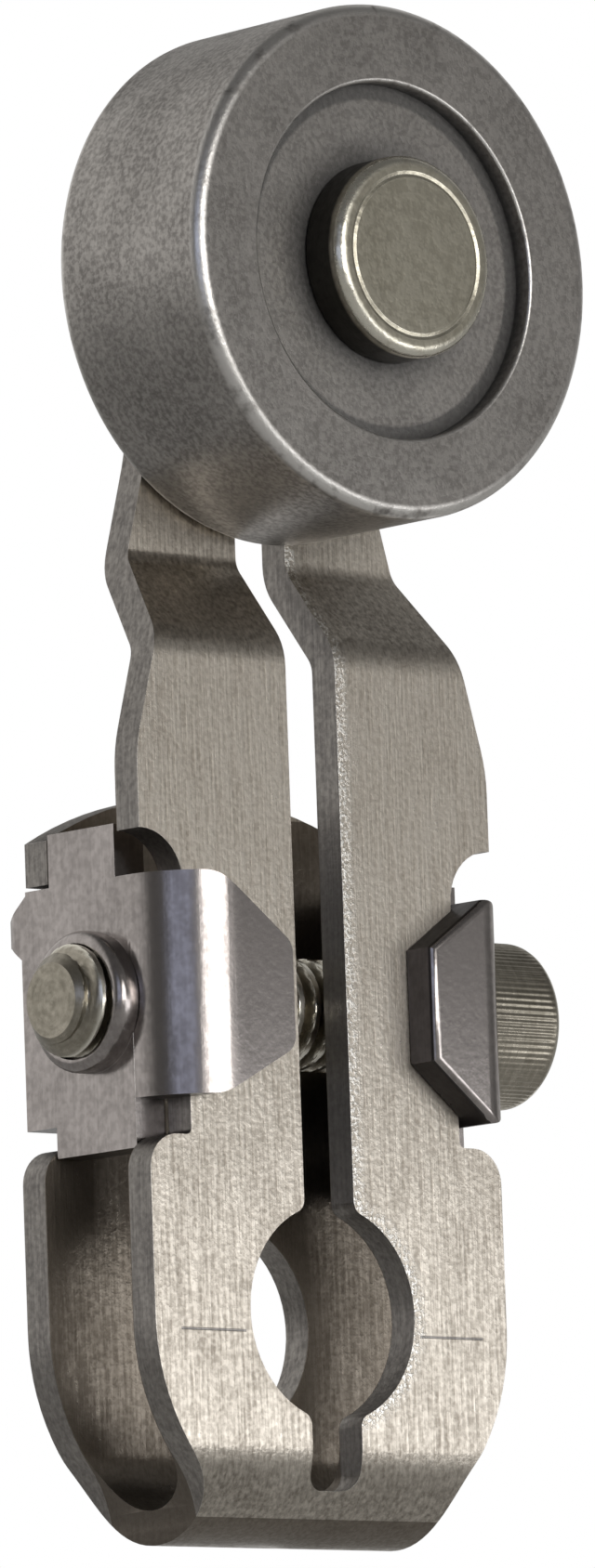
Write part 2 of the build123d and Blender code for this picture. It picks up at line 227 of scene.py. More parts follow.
class Effects:
    """Shader effects that several finishes share.  Each is a node group that is built once."""

    def __init__(self) -> None:
        """Build every group."""
        self.grain = self._grain()
        self.turned = self._turned()
        self.wear = self._wear()
        self.mottle = self._mottle()

    @staticmethod
    def _start(name: str, inputs: dict[str, str], outputs: dict[str, str]) -> tuple:
        """Make an empty group with the named sockets, each given with its kind.

        Returns:
            The tree, its Wiring, the Group Input node and the Group Output node.
        """
        tree = bpy.data.node_groups.new(name, "ShaderNodeTree")
        for side, sockets in (("INPUT", inputs), ("OUTPUT", outputs)):
            for label, kind in sockets.items():
                tree.interface.new_socket(label, in_out=side, socket_type="NodeSocket" + kind)
        wiring = Wiring(tree)
        return tree, wiring, wiring.add("NodeGroupInput"), wiring.add("NodeGroupOutput")

    def _grain(self) -> bpy.types.NodeTree:
        """Fine drawn streaks and speckle, in millimetres."""
        tree, w, given, made = self._start(
            "drawn_grain", {"Vector": "Vector", "Stretch": "Vector", "Speckle Scale": "Float"},
            {"Streaks": "Float", "Speckle": "Float"})
        along = w.vector("MULTIPLY", given.outputs["Vector"], given.outputs["Stretch"])
        streaks = w.noise(along, 1.0, 3.0, 0.65)
        speckle = w.noise(given.outputs["Vector"], given.outputs["Speckle Scale"], 2.0, 0.6)
        w.feed(made.inputs["Streaks"], w.span(streaks, 0.3, 0.7))
        w.feed(made.inputs["Speckle"], w.span(speckle, 0.32, 0.68))
        return tree

    def _turned(self) -> bpy.types.NodeTree:
        """Radius, place along the axis and angle, for marks that run round a turned piece's Y axis."""
        tree, w, given, made = self._start(
            "turned_marks", {"Vector": "Vector", "Centre": "Vector"}, {"Vector": "Vector"})
        x, y, z = w.xyz(w.vector("SUBTRACT", given.outputs["Vector"], given.outputs["Centre"]))
        radius = w.vector("LENGTH", w.point(x, 0.0, z))
        angle = w.math("ARCTAN2", z, x)
        turned = w.point(w.math("SINE", angle), w.math("COSINE", angle), w.plus(radius, y))
        w.feed(made.inputs["Vector"], turned)
        return tree

    def _wear(self) -> bpy.types.NodeTree:
        """Edges rubbed bright, broken up by a coarse noise."""
        tree, w, given, made = self._start(
            "rubbed_edges", {"Edge": "Float", "Vector": "Vector", "Patch Scale": "Float"},
            {"Mask": "Float"})
        patches = w.noise(given.outputs["Vector"], given.outputs["Patch Scale"], 3.0, 0.6)
        mask = w.math("MULTIPLY", given.outputs["Edge"], w.span(patches, 0.25, 0.5), clamp=True)
        w.feed(made.inputs["Mask"], mask)
        return tree

    def _mottle(self) -> bpy.types.NodeTree:
        """Soft uneven tone, as handled and lightly oiled steel has."""
        tree, w, given, made = self._start(
            "uneven_tone", {"Vector": "Vector", "Patch Scale": "Float"}, {"Tone": "Float"})
        tone = w.noise(given.outputs["Vector"], given.outputs["Patch Scale"], 4.0, 0.55)
        w.feed(made.inputs["Tone"], w.span(tone, 0.3, 0.7))
        return tree


@dataclass(frozen=True)
class Metal:
    """The finish of one bare metal.

    Attributes:
        slot: Material slot that the finish belongs to.
        lay: How its marks run.
        light: Colour of the clean metal.
        dark: Colour in the streaks and the pits.
        rubbed: Colour of rubbed edges.
        roughness: Roughness of the open face.
        spread: How much the roughness varies with the marks.
        streaks: Share of the streaks in the colour.
        speckle: Share of the speckle in the colour.
        speckle_scale: Speckles per millimetre.
        tone: Share of the uneven tone.
        relief: Height of the marks, in millimetres.
        stretch: Marks per millimetre across and along the lay.
        centre: Node whose middle is the axis of turned marks.
        drawn: Anisotropy across the lay, for faces drawn along the arm.
        cut_and_shade_colour: Colour of sheared edges, and of painted shade in turned pieces' corners and
            recesses.
        cut_and_shade_darkness: How far such faces take that colour.
    """

    slot: Slot
    lay: Lay
    light: Colour
    dark: Colour
    rubbed: Colour
    roughness: float
    spread: float = 0.12
    streaks: float = 0.5
    speckle: float = 0.3
    speckle_scale: float = 6.0
    tone: float = 0.3
    relief: float = 0.006
    stretch: tuple[float, float] = (7.0, 0.35)
    centre: str = ""
    drawn: float = 0.0
    cut_and_shade_colour: Colour = (0.1, 0.1, 0.1)
    cut_and_shade_darkness: float = 0.8

    def material(self, effects: Effects) -> bpy.types.Material:
        """Build the finish as a material.

        Args:
            effects: The shared shader groups.

        Returns:
            The material, with a Principled shader fed by the marks.
        """
        material = bpy.data.materials.new(self.slot.value)
        material.use_nodes = True
        material.node_tree.nodes.clear()
        w = Wiring(material.node_tree)
        place = w.add("ShaderNodeTexCoord").outputs["Object"]
        in_mm = w.vector("MULTIPLY", place, (1 / MM, 1 / MM, 1 / MM))
        marks, stretch = self._marks(w, in_mm, effects)
        grain = w.group(effects.grain, Vector=marks, Stretch=stretch, Speckle_Scale=self.speckle_scale)
        if self.lay in (Lay.TURNED_X, Lay.TURNED_Y):
            spots = w.group(effects.grain, Vector=in_mm, Stretch=stretch,
                            Speckle_Scale=self.speckle_scale).outputs["Speckle"]
        else:
            spots = grain.outputs["Speckle"]
        tone = w.group(effects.mottle, Vector=in_mm, Patch_Scale=TONE_PATCHES).outputs["Tone"]
        cut_and_shade = w.add("ShaderNodeAttribute", attribute_name="cut_and_shade").outputs["Fac"]
        edge = w.add("ShaderNodeAttribute", attribute_name="edge").outputs["Fac"]
        rubbed = w.group(effects.wear, Edge=edge, Vector=in_mm, Patch_Scale=WEAR_PATCHES).outputs["Mask"]
        relief = w.plus(w.times(grain.outputs["Streaks"], self.streaks), w.times(spots, self.speckle))
        shade = w.math("DIVIDE", w.plus(relief, w.times(tone, self.tone)),
                       self.streaks + self.speckle + self.tone, clamp=True)
        colour = w.mix(shade, self.dark, self.light)
        # Sheared faces take the dark colour partly as their own and partly as painted shade; marked corners
        # of turned pieces take it as painted shade.
        colour = w.mix(w.times(cut_and_shade, self.cut_and_shade_darkness), colour, self.cut_and_shade_colour)
        colour = w.mix(rubbed, colour, self.rubbed)
        rough = w.plus(w.times(shade, -self.spread), self.roughness + self.spread / 2)
        rough = w.plus(rough, w.times(cut_and_shade, CUT_ROUGHNESS))
        rough = w.math("SUBTRACT", rough, w.times(rubbed, RUBBED_GLOSS), clamp=True)
        colour, relief = self.extra_marks(w, in_mm, colour, relief)
        bump = w.add("ShaderNodeBump")
        w.feed(bump.inputs["Height"], relief)
        w.feed(bump.inputs["Distance"], self.relief * MM)
        shader = w.add("ShaderNodeBsdfPrincipled")
        for name, value in (("Metallic", 1.0), ("Base Color", colour), ("Roughness", rough),
                            ("Normal", bump.outputs["Normal"])):
            w.feed(shader.inputs[name], value)
        if self.drawn:
            w.feed(shader.inputs["Anisotropic"], self.drawn)
            tangent = w.add("ShaderNodeTangent", direction_type="RADIAL", axis="Z")
            w.feed(shader.inputs["Tangent"], tangent.outputs[0])
        w.feed(w.add("ShaderNodeOutputMaterial").inputs["Surface"], shader.outputs[0])
        return material

    def extra_marks(self, w: Wiring, in_mm: bpy.types.NodeSocket, colour: bpy.types.NodeSocket,
                    height: bpy.types.NodeSocket) -> tuple:
        """Marks of one finish alone; a plain metal has none."""
        return colour, height

    def _marks(self, w: Wiring, in_mm: bpy.types.NodeSocket, effects: Effects) -> tuple:
        """Turn the piece's own coordinates so that the marks follow the lay.

        Returns:
            The coordinates and how many marks there are per unit of each.
        """
        across, along = self.stretch
        if self.lay is Lay.UPRIGHT:
            return in_mm, (across, across, along)
        low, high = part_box(self.centre)
        middle = (low + high) / 2 / MM
        if self.lay is Lay.TURNED_X:
            x, y, z = w.xyz(in_mm)
            in_mm, middle = w.point(y, x, z), Vector((middle.y, middle.x, middle.z))
        turned = w.group(effects.turned, Vector=in_mm, Centre=tuple(middle)).outputs["Vector"]
        return turned, (along, along, across)


@dataclass(frozen=True)
class StrapMetal(Metal):
    """The strap's drawn steel: tumbled rims by the slit and bore, painted shade on the inner walls, a
    scribed line.

    Attributes:
        slit_side: Half width of the slit.
        bore_radius: Radius of the shaft bore.
        rim: Width of the tumbled rim.
        rim_full: Width over which the rim has its full strength.
        slit_foot: Height where the slit's rim starts, above the bore.
        slit_fade: Height over which it grows to full strength.
        grit_scale: Grains of the rim per millimetre.
        grit_relief: Their height as a share of the relief.
        line_height: Height of the scribed line.
        line_width: Its half width.
        line_start: Where it starts, from the middle.
        line_end: Where it ends.
        line_darkness: How far it takes the colour of the sheared edges.
        line_relief: Its depth as a share of the relief.
        inner_side: Distance from the middle to just outside the walls' inner faces.
        inner_top: Height up to which there are two walls.
        inner_painted_shade: How far the inner faces take the painted shade colour.
        inner_shade_colour: That colour, a painted shade.
    """

    slit_side: float = 1.2
    bore_radius: float = 3.97
    rim: float = 0.75
    rim_full: float = 0.1
    slit_foot: float = 3.2
    slit_fade: float = 0.6
    grit_scale: float = 7.0
    grit_relief: float = 1.2
    line_height: float = -0.75
    line_width: float = 0.05
    line_start: float = 4.2
    line_end: float = 7.3
    line_darkness: float = 0.75
    line_relief: float = 2.0
    inner_side: float = 2.36
    inner_top: float = 19.0
    inner_painted_shade: float = 0.8
    inner_shade_colour: Colour = (0.16, 0.133, 0.104)

    def extra_marks(self, w: Wiring, in_mm: bpy.types.NodeSocket, colour: bpy.types.NodeSocket,
                    height: bpy.types.NodeSocket) -> tuple:
        """Add the rims, the painted shade on the inner walls and the line to the colour and the height so
        far.
        """
        x, y, z = w.xyz(in_mm)
        side = w.math("ABSOLUTE", x)
        radius = w.vector("LENGTH", w.point(x, 0.0, z))
        grit = w.span(w.noise(in_mm, self.grit_scale, 2.0, 0.7), 0.46, 0.6)
        right_half = w.math("GREATER_THAN", x, 0.0)
        by_slit = w.span(x, self.slit_side + self.rim, self.slit_side + self.rim_full)
        by_slit = w.times(by_slit, w.span(z, self.slit_foot, self.slit_foot + self.slit_fade))
        by_bore = w.span(radius, self.bore_radius + self.rim, self.bore_radius + self.rim_full)
        facing = w.xyz(w.add("ShaderNodeNewGeometry").outputs["Normal"])[1]
        inner = w.times(w.math("LESS_THAN", w.math("ABSOLUTE", y), self.inner_side),
                        w.math("LESS_THAN", z, self.inner_top))
        outside = w.math("SUBTRACT", w.span(facing, -0.2, -0.7), inner, clamp=True)
        gritty = w.times(w.math("MAXIMUM", by_slit, by_bore), right_half, outside, grit)
        # Painted shade: the walls' inner faces, between the two walls, are darkened.
        colour = w.mix(w.times(inner, self.inner_painted_shade), colour, self.inner_shade_colour)
        colour = w.mix(gritty, colour, self.rubbed)
        off_line = w.math("ABSOLUTE", w.math("SUBTRACT", z, self.line_height))
        line = w.times(w.span(off_line, self.line_width, self.line_width / 2),
                       w.math("GREATER_THAN", side, self.line_start),
                       w.math("LESS_THAN", side, self.line_end), w.math("LESS_THAN", y, 0.0))
        colour = w.mix(w.times(line, self.line_darkness), colour, self.cut_and_shade_colour)
        return colour, w.plus(height, w.times(gritty, self.grit_relief), w.times(line, -self.line_relief))


@dataclass(frozen=True)
class Finishes:
    """Every finish of the lever, one for each material slot."""

    strap: Metal = StrapMetal(
        Slot.STRAP, Lay.UPRIGHT, light=(0.77, 0.715, 0.635), dark=(0.27, 0.238, 0.2),
        rubbed=(0.95, 0.93, 0.89), roughness=0.34, spread=0.16, streaks=0.6, speckle=0.5,
        speckle_scale=4.5, tone=0.25, relief=0.006, drawn=0.7, cut_and_shade_colour=(0.2, 0.195, 0.2),
        cut_and_shade_darkness=0.6)
    roller: Metal = Metal(
        Slot.ROLLER, Lay.TURNED_Y, light=(0.52, 0.495, 0.47), dark=(0.22, 0.207, 0.195),
        rubbed=(0.85, 0.83, 0.8), roughness=0.42, spread=0.12, streaks=0.15, speckle=0.6,
        speckle_scale=5.0, tone=0.35, relief=0.006, stretch=(6.0, 1.2), centre="roller")
    bush: Metal = Metal(
        Slot.BUSH, Lay.TURNED_Y, light=(0.5, 0.37, 0.22), dark=(0.3, 0.21, 0.12),
        rubbed=(0.7, 0.55, 0.35), roughness=0.4, centre="roller_bush")
    # The pin's near-black dark colour is painted shade on the head's flank.
    pin: Metal = Metal(
        Slot.PIN, Lay.TURNED_Y, light=(0.74, 0.7, 0.58), dark=(0.34, 0.315, 0.25),
        rubbed=(0.9, 0.87, 0.76), roughness=0.34, spread=0.12, streaks=0.15, speckle=0.55,
        speckle_scale=2.6, tone=0.4, relief=0.012, stretch=(5.0, 1.0), centre="roller_pin",
        cut_and_shade_colour=(0.03, 0.028, 0.026), cut_and_shade_darkness=0.95)
    # The clip's near-black colour on sheared faces is partly their own and partly painted shade and shadow.
    clip: Metal = Metal(
        Slot.CLIP, Lay.UPRIGHT, light=(0.53, 0.49, 0.475), dark=(0.29, 0.265, 0.255),
        rubbed=(0.9, 0.88, 0.86), roughness=0.2, spread=0.12, streaks=0.25, speckle=0.4,
        speckle_scale=3.0, tone=0.35, relief=0.003, cut_and_shade_colour=(0.045, 0.042, 0.045),
        cut_and_shade_darkness=0.85)
    screw: Metal = Metal(
        Slot.SCREW, Lay.TURNED_X, light=(0.52, 0.48, 0.405), dark=(0.25, 0.23, 0.185),
        rubbed=(0.9, 0.87, 0.77), roughness=0.3, spread=0.12, streaks=0.3, speckle=0.35,
        speckle_scale=3.5, tone=0.35, relief=0.004, stretch=(5.0, 1.0), centre="clamp_screw")


def plain_mesh(source: bpy.types.Object, name: str) -> bpy.types.Object:
    """Apply every modifier of an object.

    Args:
        source: Object with live modifiers, which is removed.
        name: Name of the result.

    Returns:
        A new object at the origin with a plain mesh.
    """
    graph = bpy.context.evaluated_depsgraph_get()
    mesh = bpy.data.meshes.new_from_object(source.evaluated_get(graph), depsgraph=graph)
    mesh.name = name
    bpy.data.objects.remove(source)
    made = bpy.data.objects.new(name, mesh)
    bpy.context.scene.collection.objects.link(made)
    return made


def from_bmesh(shape: bmesh.types.BMesh, name: str) -> bpy.types.Object:
    """Turn a bmesh into an object with smooth faces that point outwards."""
    bmesh.ops.recalc_face_normals(shape, faces=shape.faces)
    mesh = bpy.data.meshes.new(name)
    shape.to_mesh(mesh)
    shape.free()
    mesh.shade_smooth()
    made = bpy.data.objects.new(name, mesh)
    bpy.context.scene.collection.objects.link(made)
    return made


def steady_normals(piece: bpy.types.Object, sharp: float = 180.0) -> None:
    """Keep flat faces flat beside rounded edges.

    Args:
        piece: Piece that gets the modifier.
        sharp: Edges that turn by more than this many degrees stay sharp.
    """
    piece.data.set_sharp_from_angle(angle=math.radians(sharp))
    steady = piece.modifiers.new("steady", "WEIGHTED_NORMAL")
    steady.weight = 100
    steady.keep_sharp = True


def place(piece: bpy.types.Object, node: str, body: Body, slot: Slot,
          material: bpy.types.Material) -> bpy.types.Object:
    """Give a finished piece its material, its body and the CAD node it stands for.

    Args:
        piece: The finished piece, in place.
        node: CAD node that it replaces.
        body: Body that it rides on.
        slot: Material slot of its finish; not used.
        material: The finish.

    Returns:
        The piece.
    """
    piece.data.materials.clear()
    piece.data.materials.append(material)
    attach(piece, body.value)
    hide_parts(node)
    log.info("%s: %d faces, rides on %s", piece.name, len(piece.data.polygons), body.value)
    return piece


@dataclass(frozen=True)
class Corner:
    """One corner of a turned profile: radius, place along the axis, rounding and painted shade (0 to 1)."""

    radius: float
    station: float
    round: float = 0.0
    painted_shade: float = 0.0


@dataclass
class Turned:
    """A piece turned from a profile of corners, about an axis parallel to Y or X."""

    corners: list[Corner]
    axis: Vector
    lies_along: Vector
    segments: int = 160
    arc_steps: int = 6

    def outline(self) -> list[tuple[float, float, float, float]]:
        """Work out the profile with its corners rounded.

        Returns:
            Points as radius, station, edge share, which is 1 in the middle of a rounding, and painted shade.
        """
        points = []
        for index, corner in enumerate(self.corners):
            here = Vector((corner.radius, corner.station))
            if corner.round == 0:
                points.append((here.x, here.y, 0.0, corner.painted_shade))
                continue
            before = self.corners[index - 1]
            after = self.corners[index + 1]
            back = (Vector((before.radius, before.station)) - here).normalized()
            on = (Vector((after.radius, after.station)) - here).normalized()
            half = back.angle(on) / 2
            reach = corner.round / math.tan(half)
            centre = here + (back + on).normalized() * corner.round / math.sin(half)
            start, end = here + back * reach - centre, here + on * reach - centre
            sweep = start.angle_signed(end)
            for step in range(self.arc_steps + 1):
                share = step / self.arc_steps
                turn = Matrix.Rotation(-sweep * share, 2)
                spot = centre + turn @ start
                points.append((spot.x, spot.y, math.sin(math.pi * share), corner.painted_shade))
        return points

    def build(self, name: str) -> bpy.types.Object:
        """Spin the profile into a closed mesh with an edge attribute.

        Args:
            name: Name of the piece.

        Returns:
            The piece, with area-weighted normals.
        """
        shape = bmesh.new()
        edge = shape.verts.layers.float.new("edge")
        cut_and_shade = shape.verts.layers.float.new("cut_and_shade")
        side, up = self._across()
        rings = []
        for radius, station, share, painted_shade in self.outline():
            middle = self.axis + self.lies_along * station
            steps = self.segments if radius > 0 else 1
            ring = []
            for step in range(steps):
                angle = 2 * math.pi * step / self.segments
                spot = middle + (side * math.cos(angle) + up * math.sin(angle)) * radius
                vertex = shape.verts.new(spot * MM)
                vertex[edge] = share
                vertex[cut_and_shade] = painted_shade
                ring.append(vertex)
            rings.append(ring)
        for first, second in zip(rings, rings[1:]):
            bridge(shape, first, second)
        piece = from_bmesh(shape, name)
        steady_normals(piece, 38)
        return plain_mesh(piece, name)

    def _across(self) -> tuple[Vector, Vector]:
        """Two directions square to the axis."""
        side = Vector((0, 0, 1)).cross(self.lies_along).normalized()
        return side, self.lies_along.cross(side)


def bridge(shape: bmesh.types.BMesh, first: list, second: list) -> None:
    """Join two rings of vertices with faces, or close a ring onto a single point."""
    count = max(len(first), len(second))
    for step in range(count):
        after = (step + 1) % count
        corners = [first[step % len(first)], first[after % len(first)],
                   second[after % len(second)], second[step % len(second)]]
        shape.faces.new(list(dict.fromkeys(corners)))


@dataclass
class SheetPiece:
    """A piece pressed from sheet: a welded copy of its CAD node with its edges rounded.

    Attributes:
        node: The CAD node.
        body: Body that the piece rides on.
        sheared: Tells from a face's normal and its middle whether it was sheared.
        edge_round: Width of the rounded edges.
        steps: Faces across a rounded edge.
    """

    node: str
    body: Body
    sheared: Callable[[Vector, Vector], bool]
    edge_round: float = 0.12
    steps: int = 3

    def build(self, name: str) -> bpy.types.Object:
        """Weld, round and flatten the copy.

        Args:
            name: Name of the piece.

        Returns:
            The piece, whose rounded edges carry the edge attribute.
        """
        shape = bmesh.new()
        shape.from_mesh(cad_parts[self.node].data)
        bmesh.ops.remove_doubles(shape, verts=shape.verts, dist=WELD * MM)
        bmesh.ops.dissolve_limit(shape, angle_limit=math.radians(0.6), verts=shape.verts,
                                 edges=shape.edges)
        piece = from_bmesh(shape, name + "_blank")
        piece.data.materials.clear()
        for _ in range(2):
            piece.data.materials.append(None)
        bevel = piece.modifiers.new("edges", "BEVEL")
        bevel.limit_method = "ANGLE"
        bevel.angle_limit = math.radians(35)
        bevel.width = self.edge_round * MM
        bevel.segments = self.steps
        bevel.material = 1
        bevel.miter_outer = "MITER_ARC"
        bevel.use_clamp_overlap = True
        steady_normals(piece)
        made = plain_mesh(piece, name)
        self._mark_faces(made.data)
        return made

    def _mark_faces(self, mesh: bpy.types.Mesh) -> None:
        """Set edge to 1 where a vertex touches only rounded faces, and cut_and_shade to 1 on sheared faces,
        whose dark colour is partly their own and partly painted shade.
        """
        inside = [1.0] * len(mesh.vertices)
        sheared = []
        for face in mesh.polygons:
            if face.material_index == 0:
                for vertex in face.vertices:
                    inside[vertex] = 0.0
            sheared.append(float(self.sheared(face.normal, face.center / MM)))
            face.material_index = 0
        mesh.attributes.new("edge", "FLOAT", "POINT").data.foreach_set("value", inside)
        mesh.attributes.new("cut_and_shade", "FLOAT", "FACE").data.foreach_set("value", sheared)


@dataclass
class Strap:
    """The folded strap with its walls, fingers and eye.

    Attributes:
        sheet: The strap's sheet.
        fold_top: Height where the fold meets the walls.
    """

    fold_top: ClassVar[float] = -4.3
    sheet: SheetPiece = field(
        default_factory=lambda: SheetPiece("lever_strap", Body.LEVER, Strap.sheared, 0.19))

    @staticmethod
    def sheared(normal: Vector, middle: Vector) -> bool:
        """Outer edges, slit, slot and bore are sheared; the fold and the walls aren't."""
        return abs(normal.x) > 0.35 or (abs(normal.y) < 0.1 and middle.z > Strap.fold_top)

    def make(self, finish: Metal, effects: Effects) -> bpy.types.Object:
        """Build and dress the strap."""
        piece = self.sheet.build("strap")
        return place(piece, "lever_strap", Body.LEVER, finish.slot, finish.material(effects))


@dataclass
class RollerGroup:
    """The roller and the headed pin that it turns on.

    Attributes:
        front_round: Rounding of the tread's front edge.
        rear_round: Rounding of its rear edge.
        recess_radius: Radius of the recess round the pin head.
        recess_depth: Depth of the recess.
        recess_lip: Rounding of the recess's outer edge.
        recess_shadow: Width of the painted shadow ring in the recess's outer corner.
        bore_shadow: Width of the painted shade ring round the bore.
        bore_radius: Radius of the hole for the bush.
        head_height: Height of the pin head.
        head_round: Rounding of its front edge.
        ring_radius: Radius of the turned ring on the head.
        ring_depth: Depth of that ring.
        ring_width: Half its width.
        ring_round: Rounding of its corners.
        flank_shadow: Depth below the head's face where the painted shade on its flank starts.
        journal_radius: Radius of the pin in the bush.
        tenon_radius: Radius of the pin's end in the eye.
        stake_radius: Radius of the riveted end behind the eye.
        stake_height: Height of that end.
    """

    front_round: float = 0.5
    rear_round: float = 0.5
    recess_radius: float = 6.6
    recess_depth: float = 0.75
    recess_lip: float = 0.14
    recess_shadow: float = 0.5
    bore_radius: float = 3.61
    bore_shadow: float = 1.4
    head_height: float = 1.8
    head_round: float = 0.42
    ring_radius: float = 3.0
    ring_depth: float = 0.05
    ring_width: float = 0.12
    ring_round: float = 0.04
    flank_shadow: float = 0.6
    journal_radius: float = 2.76
    tenon_radius: float = 2.0
    stake_radius: float = 3.1
    stake_height: float = 0.9

    def make_roller(self, finish: Metal, effects: Effects) -> bpy.types.Object:
        """Build and dress the roller."""
        low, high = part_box("roller")
        front, rear, tread = low.y / MM, high.y / MM, (high.x - low.x) / 2 / MM
        floor = front + self.recess_depth
        shadow = self.recess_radius - self.recess_shadow
        # Corners whose last value is 1 or 0.9 carry painted shade: a dark ring in the recess's outer corner
        # and round the pin head.
        ring = [Corner(self.bore_radius, rear), Corner(tread, rear, self.rear_round),
                Corner(tread, front, self.front_round),
                Corner(self.recess_radius, front, self.recess_lip),
                Corner(self.recess_radius, floor - 0.1, 0, 1), Corner(self.recess_radius, floor, 0, 1),
                Corner(shadow, floor, 0, 0.9), Corner(shadow - 0.12, floor),
                Corner(self.bore_radius + self.bore_shadow, floor),
                Corner(self.bore_radius, floor, 0, 1), Corner(self.bore_radius, rear)]
        piece = self._turn(ring, "roller").build("roller_tread")
        return place(piece, "roller", Body.WHEEL, finish.slot, finish.material(effects))

    def make_pin(self, finish: Metal, effects: Effects) -> bpy.types.Object:
        """Build and dress the pin."""
        low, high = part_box("roller_pin")
        front, back, head = low.y / MM, high.y / MM, (high.x - low.x) / 2 / MM
        seat = front + self.head_height
        eye_rear = back - self.stake_height
        eye_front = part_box("roller")[1].y / MM + 0.1
        groove, width, soft = self.ring_radius, self.ring_width, self.ring_round
        # The head's flank, from flank_shadow down to the seat, carries painted shade.
        ring = [Corner(0, front), Corner(groove - width, front, soft),
                Corner(groove, front + self.ring_depth, soft), Corner(groove + width, front, soft),
                Corner(head, front, self.head_round), Corner(head, front + self.flank_shadow, 0, 1),
                Corner(head, seat, 0, 1),
                Corner(self.journal_radius, seat), Corner(self.journal_radius, eye_front),
                Corner(self.tenon_radius, eye_front), Corner(self.tenon_radius, eye_rear),
                Corner(self.stake_radius, eye_rear, 0.1), Corner(self.stake_radius, back, 0.4),
                Corner(0, back)]
        piece = self._turn(ring, "roller_pin").build("headed_pin")
        return place(piece, "roller_pin", Body.LEVER, finish.slot, finish.material(effects))

    @staticmethod
    def _turn(corners: list[Corner], node: str) -> Turned:
        """A turned piece about the roller's axis, with its stations as places along Y."""
        low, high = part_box(node)
        axis = Vector(((low.x + high.x) / 2, 0, (low.z + high.z) / 2)) / MM
        return Turned(corners, axis, Vector((0, 1, 0)))


